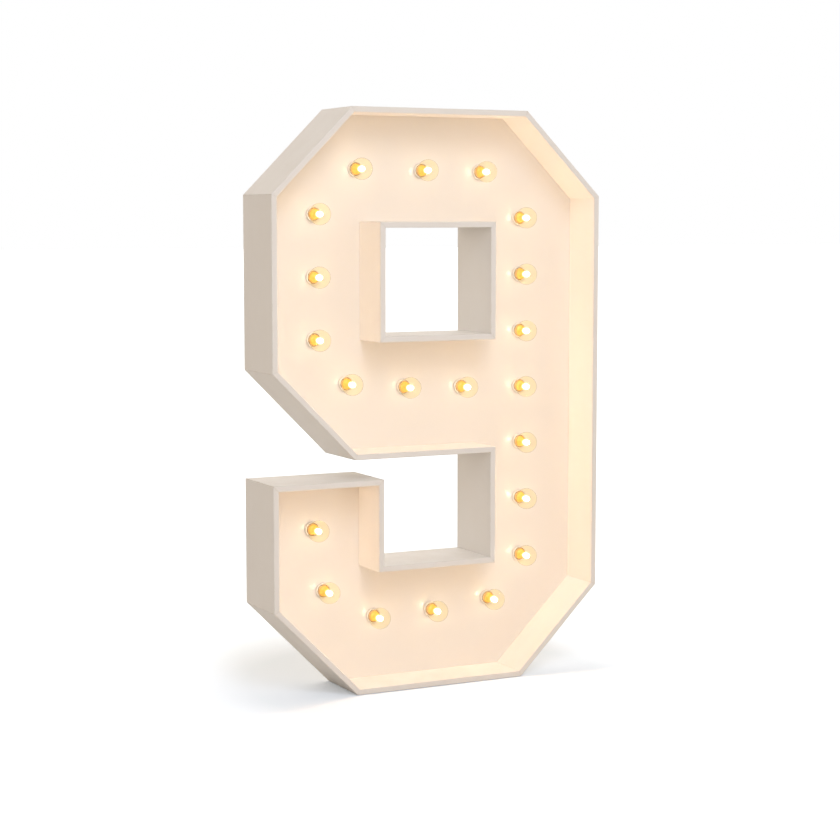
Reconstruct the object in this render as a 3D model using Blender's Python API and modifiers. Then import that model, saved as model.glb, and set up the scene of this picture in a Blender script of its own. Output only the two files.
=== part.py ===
"""Light up marquee number: a free-standing figure nine, 1.2 m high.

The case is nineteen mitred boards, fifteen round the outside and four round
the counter. Each board has a groove that holds the recessed face panel and a
rebate that holds the rear panel. A string of twenty-one moulded lampholders is
pushed through the face panel from behind, and each holder takes a clear globe
lamp. The string is fed from an appliance inlet with a rocker switch on the
rear panel.

Metres. X to the right as seen from the front, Y to the back, Z up. The origin
is at the middle of the footprint, on the floor.
"""

import math

import bmesh
import bpy
from mathutils import Matrix, Vector

# Driving sizes of the figure
HEIGHT = 1.200
WIDTH = 0.756
DEPTH = 0.150

# Strokes, chamfers and steps of the figure, as shares of its height or width
TOP_STROKE = 0.2017 * HEIGHT
BAR_STROKE = 0.2083 * HEIGHT
BASE_STROKE = 0.2200 * HEIGHT
LEFT_STROKE = 0.3307 * WIDTH
RIGHT_STROKE = 0.3466 * WIDTH
HOOK_WIDTH = 0.3254 * WIDTH
HOOK_TOP = 0.3700 * HEIGHT
NOTCH_TOP = 0.4058 * HEIGHT
TOP_CHAMFER = 0.1467 * HEIGHT
LOOP_CHAMFER = 0.1508 * HEIGHT
BASE_CHAMFER = 0.1542 * HEIGHT

# Boards and panels
BOARD = 0.012
BOARD_EDGE = 0.001
ROOM_BEHIND_FACE = 0.050
FACE_RECESS = DEPTH - ROOM_BEHIND_FACE
FACE_PANEL = 0.009
GROOVE = 0.004
REAR_PANEL = 0.004
REAR_INSET = 0.006
REBATE = 0.007

# Clearance between pieces that touch, and overrun of every cut
GAP = 0.0003
OVERRUN = 0.002

# Distance within which seams are welded, and the least angle of a sharp edge
WELD = GAP / 100
SHARP_ANGLE = math.radians(40)

# Globe lamp, in heights above the front of the face panel
LAMP_STEPS = 12
GLOBE_RADIUS = 0.0225
GLOBE_HEIGHT = 0.036
GLOBE_RINGS = 5
GLOBE_ARC = math.radians(136)
NECK_RADIUS = 0.0123
CAP_RADIUS = 0.01325
CAP_LENGTH = 0.021
TIP_RADIUS = 0.006
TIP_LENGTH = 0.008

# Moulded lampholder
COLLAR_RADIUS = 0.0156
COLLAR_HEIGHT = 0.007
COLLAR_EDGE = 0.0010
FLANGE_RADIUS = 0.0195
FLANGE_THICKNESS = 0.003
HOLDER_FLOOR = 0.0045
HOLDER_END_RADIUS = 0.015

# Cable of the lamp string
CABLE_RADIUS = 0.003
CABLE_POINTS_PER_SPAN = 3

# Screws
SCREW_STEPS = 8
SCREW_RADIUS = 0.0014
SCREW_LENGTH = 0.016
SCREW_HEAD_RADIUS = 0.003
SCREW_HEAD_HEIGHT = 0.0018
INLET_SCREW_LENGTH = 0.010

# Appliance inlet with its switch: x across, y up the rear panel
INLET_FROM_LEFT = 0.235
INLET_UP = 0.078
INLET_FLANGE = 0.002
INLET_FLANGE_WIDTH = 0.031
INLET_FLANGE_HEIGHT = 0.054
INLET_LUG_SPAN = 0.050
INLET_LUG_HEIGHT = 0.012
INLET_SCREW_PITCH = 0.040
INLET_BODY_WIDTH = 0.027
INLET_BODY_HEIGHT = 0.048
INLET_BODY_DEPTH = 0.024
SOCKET_DROP = 0.011
SOCKET_WIDTH = 0.024
SOCKET_HEIGHT = 0.0165
SOCKET_CORNER = 0.005
SOCKET_DEPTH = 0.0165
PIN_WIDTH = 0.002
PIN_HEIGHT = 0.004
PIN_PITCH = 0.007
PIN_STAGGER = 0.002
PIN_SHORTFALL = 0.002
PIN_TAB = 0.006
PIN_EDGE = 0.0004

# Rocker switch
ROCKER_RISE = 0.012
ROCKER_WIDTH = 0.0134
ROCKER_LENGTH = 0.019
ROCKER_PIVOT_DEPTH = 0.004
ROCKER_STAND = 0.0006
ROCKER_BELOW = 0.003
ROCKER_TILT = math.radians(8)
ROCKER_POCKET_DEPTH = 0.012
AXLE_RADIUS = 0.0015
AXLE_REACH = 0.0015
AXLE_STEPS = 12

# Lamp places, one tuple for each row, in the order that the string visits them.
# Upright rows: share of the stroke in from its outer edge, share of the height.
# Level rows: share of the width from the left, share of the stroke.
HOOK_LAMP_SHARES = ((0.514, 0.280), (0.611, 0.171))
BASE_LAMP_SHARES = ((0.352, 0.537), (0.532, 0.548), (0.714, 0.600))
RIGHT_LAMP_SHARES = (
    (0.523, 0.207),
    (0.526, 0.311),
    (0.528, 0.413),
    (0.534, 0.514),
    (0.534, 0.614),
    (0.536, 0.715),
    (0.540, 0.815),
)
TOP_LAMP_SHARES = ((0.684, 0.519), (0.501, 0.512), (0.300, 0.506))
LEFT_LAMP_SHARES = ((0.531, 0.821), (0.525, 0.714), (0.527, 0.607))
BAR_LAMP_SHARES = ((0.270, 0.594), (0.447, 0.549), (0.626, 0.534))

# Rear screws: the boards that take one, and its share of the board's length
REAR_SCREW_SHARES = {
    "top_right_board": (0.5,),
    "right_board": (0.3, 0.7),
    "base_right_board": (0.5,),
    "base_board": (0.5,),
    "base_left_board": (0.5,),
    "hook_top_board": (0.5,),
    "notch_back_board": (0.5,),
    "loop_lower_left_board": (0.5,),
    "top_left_board": (0.5,),
}

# Feed cable, from the inlet to the first holder: shares of the way across,
# of the way up, and of the way from the inlet's plane to the string's plane
FEED_SHARES = (
    (0.15, 0.0, 0.0),
    (0.40, 0.01, 0.15),
    (0.75, 0.10, 0.45),
    (1.25, 0.32, 0.85),
    (1.50, 0.62, 1.00),
    (1.38, 0.90, 1.00),
)

# Levels from front to back
FRONT = -DEPTH / 2
BACK = DEPTH / 2
FACE_FRONT = FRONT + FACE_RECESS
FACE_BACK = FACE_FRONT + FACE_PANEL
REAR_BACK = BACK - REAR_INSET
REAR_FRONT = REAR_BACK - REAR_PANEL
CAP_END = COLLAR_HEIGHT - CAP_LENGTH
TIP_END = CAP_END - TIP_LENGTH
HOLDER_END = TIP_END - GAP - HOLDER_FLOOR

# Turns that lay a piece's own axis along the depth of the case
TO_FRONT = (math.pi / 2, 0, 0)
TO_BACK = (math.pi / 2, 0, math.pi)


def outline():
    """Corners round the outside, clockwise from the front, from the top left."""
    left = -WIDTH / 2
    right = WIDTH / 2
    return [
        Vector((left + TOP_CHAMFER, HEIGHT)),
        Vector((right - TOP_CHAMFER, HEIGHT)),
        Vector((right, HEIGHT - TOP_CHAMFER)),
        Vector((right, BASE_CHAMFER)),
        Vector((right - BASE_CHAMFER, 0)),
        Vector((left + BASE_CHAMFER, 0)),
        Vector((left, BASE_CHAMFER)),
        Vector((left, HOOK_TOP)),
        Vector((left + HOOK_WIDTH, HOOK_TOP)),
        Vector((left + HOOK_WIDTH, BASE_STROKE)),
        Vector((right - RIGHT_STROKE, BASE_STROKE)),
        Vector((right - RIGHT_STROKE, NOTCH_TOP)),
        Vector((left + LOOP_CHAMFER, NOTCH_TOP)),
        Vector((left, NOTCH_TOP + LOOP_CHAMFER)),
        Vector((left, HEIGHT - TOP_CHAMFER)),
    ]


def counter():
    """Corners of the counter, anticlockwise from the front, from the top left."""
    left = LEFT_STROKE - WIDTH / 2
    right = WIDTH / 2 - RIGHT_STROKE
    bottom = NOTCH_TOP + BAR_STROKE
    top = HEIGHT - TOP_STROKE
    return [
        Vector((left, top)),
        Vector((left, bottom)),
        Vector((right, bottom)),
        Vector((right, top)),
    ]


OUTLINE_BOARDS = (
    "top_board",
    "top_right_board",
    "right_board",
    "base_right_board",
    "base_board",
    "base_left_board",
    "hook_side_board",
    "hook_top_board",
    "hook_inner_board",
    "notch_floor_board",
    "notch_back_board",
    "notch_top_board",
    "loop_lower_left_board",
    "loop_side_board",
    "top_left_board",
)
COUNTER_BOARDS = (
    "counter_left_board",
    "counter_bottom_board",
    "counter_right_board",
    "counter_top_board",
)


def inward(direction):
    """The side of an edge where the wood is: the right hand of its direction."""
    return Vector((direction.y, -direction.x))


def offset_loop(corners, distance):
    """The same loop moved into the wood by a distance."""
    moved = []
    for i, corner in enumerate(corners):
        before = inward((corner - corners[i - 1]).normalized())
        after = inward((corners[(i + 1) % len(corners)] - corner).normalized())
        moved.append(corner + (before + after) * distance / (1 + before.dot(after)))
    return moved


def circle(centre, radius, steps):
    """A round hole's points, in step with a turned piece of as many steps."""
    angles = [2 * math.pi * i / steps for i in range(steps)]
    return [centre + radius * Vector((math.cos(a), math.sin(a))) for a in angles]


def rectangle(centre, width, height):
    """Four corners about a centre."""
    x, y = centre
    return [
        Vector((x - width / 2, y - height / 2)),
        Vector((x + width / 2, y - height / 2)),
        Vector((x + width / 2, y + height / 2)),
        Vector((x - width / 2, y + height / 2)),
    ]


def material(name, colour, roughness, metallic=0.0, transmission=0.0):
    """A plain surface for one kind of sub-part."""
    made = bpy.data.materials.new(name)
    made.use_nodes = True
    shader = made.node_tree.nodes["Principled BSDF"]
    shader.inputs["Base Color"].default_value = (*colour, 1)
    shader.inputs["Roughness"].default_value = roughness
    shader.inputs["Metallic"].default_value = metallic
    shader.inputs["Transmission Weight"].default_value = transmission
    made.diffuse_color = (*colour, 1)
    return made


def placed(name, mesh, surface, location=(0, 0, 0), rotation=(0, 0, 0)):
    """One named sub-part in the part's collection."""
    made = bpy.data.objects.new(name, mesh)
    if not mesh.materials:
        mesh.materials.append(surface)
    made.location = location
    made.rotation_euler = rotation
    PARTS.objects.link(made)
    return made


def helper(name, mesh, location=(0, 0, 0), rotation=(0, 0, 0)):
    """A body that only cuts or joins another."""
    made = bpy.data.objects.new(name, mesh)
    made.location = location
    made.rotation_euler = rotation
    made.hide_render = True
    made.display_type = "WIRE"
    CUTTERS.objects.link(made)
    return made


def combine(target, other, operation):
    """Cuts a helper out of a sub-part, or joins it on."""
    step = target.modifiers.new(other.name, "BOOLEAN")
    step.operation = operation
    step.solver = "EXACT"
    step.object = other


def evaluated_mesh(source, weld):
    """The mesh that a curve or a modified object makes, with its seams welded."""
    bpy.context.scene.collection.objects.link(source)
    graph = bpy.context.evaluated_depsgraph_get()
    mesh = bpy.data.meshes.new_from_object(source.evaluated_get(graph))
    bpy.data.objects.remove(source)
    body = bmesh.new()
    body.from_mesh(mesh)
    bmesh.ops.remove_doubles(body, verts=body.verts, dist=weld)
    bmesh.ops.dissolve_degenerate(body, edges=body.edges, dist=weld)
    bmesh.ops.recalc_face_normals(body, faces=body.faces)
    body.to_mesh(mesh)
    body.free()
    return mesh


def flat_mesh(name, loops, thickness):
    """A flat outline with its holes, as a solid about its own plane."""
    curve = bpy.data.curves.new(name, "CURVE")
    curve.dimensions = "2D"
    curve.fill_mode = "BOTH"
    curve.extrude = thickness / 2
    for loop in loops:
        spline = curve.splines.new("POLY")
        spline.points.add(len(loop) - 1)
        for point, place in zip(spline.points, loop):
            point.co = (place[0], place[1], 0, 1)
        spline.use_cyclic_u = True
    mesh = evaluated_mesh(bpy.data.objects.new(name, curve), WELD)
    bpy.data.curves.remove(curve)
    return mesh


def turned_mesh(name, profile, steps):
    """A turned solid: radius and height pairs, down the outer side, about Z."""
    mesh = bpy.data.meshes.new(name + "_profile")
    points = [(radius, 0, height) for radius, height in profile]
    edges = [(i, i + 1) for i in range(len(points) - 1)]
    mesh.from_pydata(points, edges, [])
    source = bpy.data.objects.new(name, mesh)
    turn = source.modifiers.new("turn", "SCREW")
    turn.steps = steps
    turn.render_steps = steps
    turn.use_merge_vertices = True
    turn.merge_threshold = WELD
    turned = evaluated_mesh(source, WELD)
    turned.name = name
    turned.shade_smooth()
    turned.set_sharp_from_angle(angle=SHARP_ANGLE)
    bpy.data.meshes.remove(mesh)
    return turned


def box_mesh(name, size):
    """A box about its centre."""
    body = bmesh.new()
    bmesh.ops.create_cube(body, size=1, matrix=Matrix.Diagonal((*size, 1)))
    mesh = bpy.data.meshes.new(name)
    body.to_mesh(mesh)
    body.free()
    return mesh


def rod_mesh(name, radius, length, steps):
    """A round rod along Z, about its centre."""
    body = bmesh.new()
    bmesh.ops.create_cone(
        body,
        cap_ends=True,
        segments=steps,
        radius1=radius,
        radius2=radius,
        depth=length,
    )
    mesh = bpy.data.meshes.new(name)
    body.to_mesh(mesh)
    body.free()
    return mesh


def board_section():
    """Depth and outward places of a board's section, with groove and rebate."""
    groove_front = FACE_FRONT - GAP
    groove_back = FACE_BACK + GAP
    shoulder = REAR_FRONT - GAP
    lip = REBATE - BOARD
    return [
        (FRONT + BOARD_EDGE, 0),
        (BACK - BOARD_EDGE, 0),
        (BACK, -BOARD_EDGE),
        (BACK, lip),
        (shoulder, lip),
        (shoulder, -BOARD),
        (groove_back, -BOARD),
        (groove_back, GROOVE - BOARD),
        (groove_front, GROOVE - BOARD),
        (groove_front, -BOARD),
        (FRONT + BOARD_EDGE, -BOARD),
        (FRONT, BOARD_EDGE - BOARD),
        (FRONT, -BOARD_EDGE),
    ]


def turn_between(before, after):
    """How far a loop turns to the right from one edge to the next."""
    cross = before.x * after.y - before.y * after.x
    return -math.atan2(cross, before.dot(after))


def mitre(body, end, turn, side):
    """Cuts one end of a board at half the corner's turn, and closes the cut."""
    normal = Vector((side * math.cos(turn / 2), 0, -math.sin(turn / 2)))
    cut = bmesh.ops.bisect_plane(
        body,
        geom=body.verts[:] + body.edges[:] + body.faces[:],
        plane_co=Vector((side * end, 0, 0)) - normal * GAP / 2,
        plane_no=normal,
        clear_outer=True,
    )
    edges = [item for item in cut["geom_cut"] if isinstance(item, bmesh.types.BMEdge)]
    bmesh.ops.contextual_create(body, geom=edges)


def board_mesh(name, length, start_turn, end_turn):
    """A grooved and rebated board with mitred ends, along X."""
    along_x = Matrix(((0, 0, 1, 0), (1, 0, 0, 0), (0, 1, 0, 0), (0, 0, 0, 1)))
    mesh = flat_mesh(name, [board_section()], length + 4 * BOARD)
    mesh.transform(along_x)
    body = bmesh.new()
    body.from_mesh(mesh)
    mitre(body, length / 2, start_turn, -1)
    mitre(body, length / 2, end_turn, 1)
    bmesh.ops.recalc_face_normals(body, faces=body.faces)
    body.to_mesh(mesh)
    body.free()
    return mesh


def make_boards(names, corners, surface):
    """The boards of one loop, each between two corners, and their edges."""
    edges = {}
    count = len(corners)
    directions = [
        (corners[(i + 1) % count] - corners[i]).normalized() for i in range(count)
    ]
    for i, name in enumerate(names):
        start = corners[i]
        end = corners[(i + 1) % count]
        direction = directions[i]
        start_turn = turn_between(directions[i - 1], direction)
        end_turn = turn_between(direction, directions[(i + 1) % count])
        mesh = board_mesh(name, (end - start).length, start_turn, end_turn)
        middle = (start + end) / 2
        tilt = math.atan2(-direction.y, direction.x)
        placed(name, mesh, surface, (middle.x, 0, middle.y), (0, tilt, 0))
        edges[name] = (start, end)
    return edges


def rear_screw_places(edges):
    """The rear screws' boards and places, on the middle of the rebate's shoulder."""
    places = []
    for name, shares in REAR_SCREW_SHARES.items():
        start, end = edges[name]
        inset = inward((end - start).normalized()) * (BOARD - REBATE / 2)
        for share in shares:
            places.append((name, start.lerp(end, share) + inset))
    return places


def lamp_places():
    """Lamp axes on the face panel, in the order of the string."""
    left = -WIDTH / 2
    right = WIDTH / 2
    rows = [
        [(left + s * HOOK_WIDTH, up * HEIGHT) for s, up in HOOK_LAMP_SHARES],
        [(left + s * WIDTH, up * BASE_STROKE) for s, up in BASE_LAMP_SHARES],
        [(right - s * RIGHT_STROKE, up * HEIGHT) for s, up in RIGHT_LAMP_SHARES],
        [(left + s * WIDTH, HEIGHT - d * TOP_STROKE) for s, d in TOP_LAMP_SHARES],
        [(left + s * LEFT_STROKE, up * HEIGHT) for s, up in LEFT_LAMP_SHARES],
        [(left + s * WIDTH, NOTCH_TOP + up * BAR_STROKE) for s, up in BAR_LAMP_SHARES],
    ]
    return [Vector(place) for row in rows for place in row]


def make_face_panel(lamps, surface):
    """The recessed panel, held in the boards' grooves, with a hole at each lamp."""
    inset = BOARD - GROOVE + GAP
    loops = [offset_loop(outline(), inset), offset_loop(counter(), inset)]
    loops += [circle(lamp, COLLAR_RADIUS + GAP, LAMP_STEPS) for lamp in lamps]
    mesh = flat_mesh("face_panel", loops, FACE_PANEL)
    middle = FACE_FRONT + FACE_PANEL / 2
    placed("face_panel", mesh, surface, (0, middle, 0), TO_FRONT)


def inlet_place():
    """Centre of the inlet on the rear panel."""
    return Vector((INLET_FROM_LEFT - WIDTH / 2, INLET_UP))


def inlet_screw_places():
    """The two lug screws, level with the socket."""
    middle = inlet_place() - Vector((0, SOCKET_DROP))
    half = Vector((INLET_SCREW_PITCH / 2, 0))
    return [middle - half, middle + half]


def make_rear_panel(screws, surface):
    """The rear panel, in the boards' rebates, with the inlet's cut-out."""
    inset = BOARD - REBATE + GAP
    cutout = rectangle(
        inlet_place(), INLET_BODY_WIDTH + 2 * GAP, INLET_BODY_HEIGHT + 2 * GAP
    )
    loops = [offset_loop(outline(), inset), offset_loop(counter(), inset), cutout]
    for place in [place for _, place in screws] + inlet_screw_places():
        loops.append(circle(place, SCREW_RADIUS + GAP, SCREW_STEPS))
    mesh = flat_mesh("rear_panel", loops, REAR_PANEL)
    middle = REAR_FRONT + REAR_PANEL / 2
    placed("rear_panel", mesh, surface, (0, middle, 0), TO_FRONT)


def lamp_profile():
    """Globe, neck, screw cap and tip of a lamp, from the front to the tip."""
    points = [(0, GLOBE_HEIGHT + GLOBE_RADIUS)]
    for i in range(1, GLOBE_RINGS + 1):
        angle = GLOBE_ARC * i / GLOBE_RINGS
        radius = GLOBE_RADIUS * math.sin(angle)
        points.append((radius, GLOBE_HEIGHT + GLOBE_RADIUS * math.cos(angle)))
    points += [
        (NECK_RADIUS, (COLLAR_HEIGHT + points[-1][1]) / 2),
        (CAP_RADIUS, COLLAR_HEIGHT),
        (CAP_RADIUS, CAP_END),
        (TIP_RADIUS, TIP_END),
        (0, TIP_END),
    ]
    return points


def make_lamps(lamps, surface):
    """The screw-in globe lamps."""
    mesh = turned_mesh("globe_lamp", lamp_profile(), LAMP_STEPS)
    for number, lamp in enumerate(lamps, 1):
        place = (lamp.x, FACE_FRONT, lamp.y)
        placed(f"globe_lamp_{number:02d}", mesh, surface, place, TO_FRONT)


def holder_profile():
    """A lampholder, from the floor of its bore, over the lip, to its rear end."""
    bore = CAP_RADIUS + GAP
    floor = TIP_END - GAP
    seat = -FACE_PANEL - GAP
    return [
        (0, floor),
        (bore, floor),
        (bore, COLLAR_HEIGHT),
        (COLLAR_RADIUS - COLLAR_EDGE, COLLAR_HEIGHT),
        (COLLAR_RADIUS, COLLAR_HEIGHT - COLLAR_EDGE),
        (COLLAR_RADIUS, seat),
        (FLANGE_RADIUS, seat),
        (FLANGE_RADIUS, seat - FLANGE_THICKNESS),
        (HOLDER_END_RADIUS, HOLDER_END),
        (0, HOLDER_END),
    ]


def smooth_route(places, per_span):
    """Points on a smooth curve through the places, for a cable's run."""
    points = []
    last = len(places) - 1
    for i in range(last):
        p0 = places[max(i - 1, 0)]
        p1 = places[i]
        p2 = places[i + 1]
        p3 = places[min(i + 2, last)]
        for step in range(per_span):
            t = step / per_span
            points.append(
                (
                    2 * p1
                    + (p2 - p0) * t
                    + (2 * p0 - 5 * p1 + 4 * p2 - p3) * t**2
                    + (3 * p1 - p0 - 3 * p2 + p3) * t**3
                )
                / 2
            )
    points.append(places[last])
    return points


def cable_route(lamps):
    """From the inlet's first tab, round to the first holder and through them all."""
    string_level = FACE_FRONT - HOLDER_END
    tab_level = REAR_BACK - INLET_BODY_DEPTH - CABLE_RADIUS - GAP
    first_tab = PIN_PITCH + PIN_WIDTH / 2 + GAP
    inlet = inlet_place()
    socket = inlet.y - SOCKET_DROP - PIN_STAGGER
    start = Vector((inlet.x - first_tab, tab_level, socket))
    holders = [Vector((lamp.x, string_level, lamp.y)) for lamp in lamps]
    span = holders[0] - start
    feed = [
        start + Vector((span.x * across, span.y * back, span.z * up))
        for across, up, back in FEED_SHARES
    ]
    return smooth_route([start, *feed, *holders], CABLE_POINTS_PER_SPAN)


def make_lamp_string(lamps, surface):
    """The lampholders and the cable that is moulded into their backs, as one."""
    curve = bpy.data.curves.new("lamp_string", "CURVE")
    curve.dimensions = "3D"
    curve.bevel_depth = CABLE_RADIUS
    curve.bevel_resolution = 2
    curve.use_fill_caps = True
    route = cable_route(lamps)
    spline = curve.splines.new("POLY")
    spline.points.add(len(route) - 1)
    for point, place in zip(spline.points, route):
        point.co = (*place, 1)
    mesh = evaluated_mesh(bpy.data.objects.new("lamp_string", curve), WELD)
    bpy.data.curves.remove(curve)
    string = placed("lamp_string", mesh, surface)
    holder = turned_mesh("holder", holder_profile(), LAMP_STEPS)
    body = bmesh.new()
    for lamp in lamps:
        before = len(body.verts)
        body.from_mesh(holder)
        body.verts.ensure_lookup_table()
        move = Matrix.Translation((lamp.x, FACE_FRONT, lamp.y))
        move = move @ Matrix.Rotation(TO_FRONT[0], 4, "X")
        bmesh.ops.transform(body, matrix=move, verts=body.verts[before:])
    holders = bpy.data.meshes.new("holders")
    body.to_mesh(holders)
    body.free()
    combine(string, helper("holders", holders), "UNION")


def screw_mesh(name, length):
    """A pan head screw, with the underside of its head at zero."""
    profile = [
        (0, SCREW_HEAD_HEIGHT),
        (SCREW_HEAD_RADIUS, SCREW_HEAD_HEIGHT / 2),
        (SCREW_HEAD_RADIUS, 0),
        (SCREW_RADIUS, 0),
        (SCREW_RADIUS, -length),
        (0, -length),
    ]
    return turned_mesh(name, profile, SCREW_STEPS)


def make_rear_screws(screws, surface):
    """Rear screws, each with its pilot hole in the board's shoulder."""
    mesh = screw_mesh("rear_screw", SCREW_LENGTH)
    pilot_depth = SCREW_LENGTH + GAP
    pilot = rod_mesh("pilot", SCREW_RADIUS + GAP, pilot_depth, SCREW_STEPS)
    for number, (board, place) in enumerate(screws, 1):
        name = f"rear_screw_{number:02d}"
        head = REAR_BACK + GAP
        placed(name, mesh, surface, (place.x, head, place.y), TO_BACK)
        middle = head - pilot_depth / 2
        cutter = helper(name + "_pilot", pilot, (place.x, middle, place.y), TO_BACK)
        combine(bpy.data.objects[board], cutter, "DIFFERENCE")


def make_inlet_screws(surface):
    """The screws through the inlet's lugs."""
    mesh = screw_mesh("inlet_screw", INLET_SCREW_LENGTH)
    head = REAR_BACK + GAP + INLET_FLANGE + GAP
    for side, place in zip(("left", "right"), inlet_screw_places()):
        location = (place.x, head, place.y)
        placed(f"inlet_screw_{side}", mesh, surface, location, TO_BACK)


def flange_outline():
    """The inlet's flange, with a lug on each side of the socket."""
    half = INLET_FLANGE_WIDTH / 2
    top = INLET_FLANGE_HEIGHT / 2
    lug = INLET_LUG_SPAN / 2
    lug_half = INLET_LUG_HEIGHT / 2
    right = [
        (half, -top),
        (half, -SOCKET_DROP - 2 * lug_half),
        (lug, -SOCKET_DROP - lug_half),
        (lug, -SOCKET_DROP + lug_half),
        (half, -SOCKET_DROP + 2 * lug_half),
        (half, top),
    ]
    return right + [(-x, y) for x, y in reversed(right)]


def socket_outline():
    """The appliance socket's mouth, with its two cut corners."""
    half = SOCKET_WIDTH / 2
    top = SOCKET_HEIGHT / 2
    right = [(half, -top), (half, top - SOCKET_CORNER), (half - SOCKET_CORNER, top)]
    return right + [(-x, y) for x, y in reversed(right)]


def pin_places():
    """The three pins about the socket's centre: two side by side, one above."""
    return {
        "inlet_pin_line": Vector((PIN_PITCH, -PIN_STAGGER)),
        "inlet_pin_earth": Vector((0, PIN_STAGGER)),
        "inlet_pin_neutral": Vector((-PIN_PITCH, -PIN_STAGGER)),
    }


def from_rear(x, y, z):
    """A place given across, up and out of the inlet's seat, in the part's frame."""
    centre = inlet_place()
    return Vector((centre.x - x, REAR_BACK + GAP + z, centre.y + y))


def rocker_half_reach():
    """How far from its pivot the rocker reaches up and down when it is pressed."""
    half = ROCKER_LENGTH / 2
    rise = ROCKER_PIVOT_DEPTH + ROCKER_STAND + half * math.tan(ROCKER_TILT)
    return math.hypot(half, rise) * math.cos(math.atan2(rise, half) - ROCKER_TILT)


def make_inlet_housing(surface):
    """The moulded inlet: flange, body, socket, switch pocket and pin slots."""
    flange = flat_mesh("inlet_housing", [flange_outline()] + [
        circle(Vector((side * INLET_SCREW_PITCH / 2, -SOCKET_DROP)),
               SCREW_RADIUS + GAP, SCREW_STEPS)
        for side in (-1, 1)
    ], INLET_FLANGE)
    middle = from_rear(0, 0, INLET_FLANGE / 2)
    housing = placed("inlet_housing", flange, surface, middle, TO_BACK)

    body_depth = INLET_BODY_DEPTH + INLET_FLANGE / 2
    body = box_mesh("body", (INLET_BODY_WIDTH, INLET_BODY_HEIGHT, body_depth))
    centre = from_rear(0, 0, INLET_FLANGE / 2 - body_depth / 2)
    combine(housing, helper("inlet_body", body, centre, TO_BACK), "UNION")

    socket = flat_mesh("socket", [socket_outline()], SOCKET_DEPTH + OVERRUN)
    depth = INLET_FLANGE - (SOCKET_DEPTH - OVERRUN) / 2
    centre = from_rear(0, -SOCKET_DROP, depth)
    combine(housing, helper("socket", socket, centre, TO_BACK), "DIFFERENCE")

    pocket_size = (
        ROCKER_WIDTH + 2 * GAP,
        2 * (rocker_half_reach() + GAP),
        ROCKER_POCKET_DEPTH + OVERRUN,
    )
    depth = INLET_FLANGE - (ROCKER_POCKET_DEPTH - OVERRUN) / 2
    centre = from_rear(0, ROCKER_RISE, depth)
    pocket = helper("pocket", box_mesh("pocket", pocket_size), centre, TO_BACK)
    combine(housing, pocket, "DIFFERENCE")

    bore = rod_mesh(
        "axle_bore",
        AXLE_RADIUS + GAP,
        ROCKER_WIDTH + 2 * (AXLE_REACH + GAP),
        AXLE_STEPS,
    )
    across = (0, math.pi / 2, 0)
    cutter = helper("axle_bore", bore, rocker_pivot(), across)
    combine(housing, cutter, "DIFFERENCE")

    slot_size = (PIN_WIDTH + 2 * GAP, PIN_HEIGHT + 2 * GAP, INLET_BODY_DEPTH)
    slot = box_mesh("slot", slot_size)
    for name, place in pin_places().items():
        depth = INLET_FLANGE - SOCKET_DEPTH + OVERRUN - INLET_BODY_DEPTH / 2
        centre = from_rear(place.x, place.y - SOCKET_DROP, depth)
        cutter = helper(name + "_slot", slot, centre, TO_BACK)
        combine(housing, cutter, "DIFFERENCE")


def make_inlet_pins(surface):
    """Flat pins through the socket's floor, each with its tab at the rear."""
    tip = INLET_FLANGE - PIN_SHORTFALL
    length = tip + INLET_BODY_DEPTH + PIN_TAB
    mesh = box_mesh("inlet_pin", (PIN_WIDTH, PIN_HEIGHT, length))
    for name, place in pin_places().items():
        centre = from_rear(place.x, place.y - SOCKET_DROP, tip - length / 2)
        pin = placed(name, mesh, surface, centre, TO_BACK)
        edge = pin.modifiers.new("edge", "BEVEL")
        edge.width = PIN_EDGE
        edge.segments = 1


def rocker_pivot():
    """The rocker's axis, behind the face of the flange."""
    return from_rear(0, ROCKER_RISE, INLET_FLANGE - ROCKER_PIVOT_DEPTH)


def make_rocker(surface):
    """The rocker, lying on with its upper half pressed, about its own axle."""
    half = ROCKER_LENGTH / 2
    valley = ROCKER_PIVOT_DEPTH + ROCKER_STAND
    crest = valley + half * math.tan(ROCKER_TILT)
    side = [
        (half, crest),
        (0, valley),
        (-half, crest),
        (-half, -ROCKER_BELOW),
        (half, -ROCKER_BELOW),
    ]
    mesh = flat_mesh("switch_rocker", [side], ROCKER_WIDTH)
    axle = rod_mesh("axle", AXLE_RADIUS, ROCKER_WIDTH + 2 * AXLE_REACH, AXLE_STEPS)
    # The outline lies across the axle, so up becomes Z and out becomes Y.
    across_x = Matrix(((0, 0, 1, 0), (0, 1, 0, 0), (1, 0, 0, 0), (0, 0, 0, 1)))
    mesh.transform(across_x)
    mesh.flip_normals()
    pressed = (ROCKER_TILT, 0, 0)
    rocker = placed("switch_rocker", mesh, surface, rocker_pivot(), pressed)
    joined = helper("rocker_axle", axle, rocker_pivot(), (0, math.pi / 2, 0))
    combine(rocker, joined, "UNION")


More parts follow.
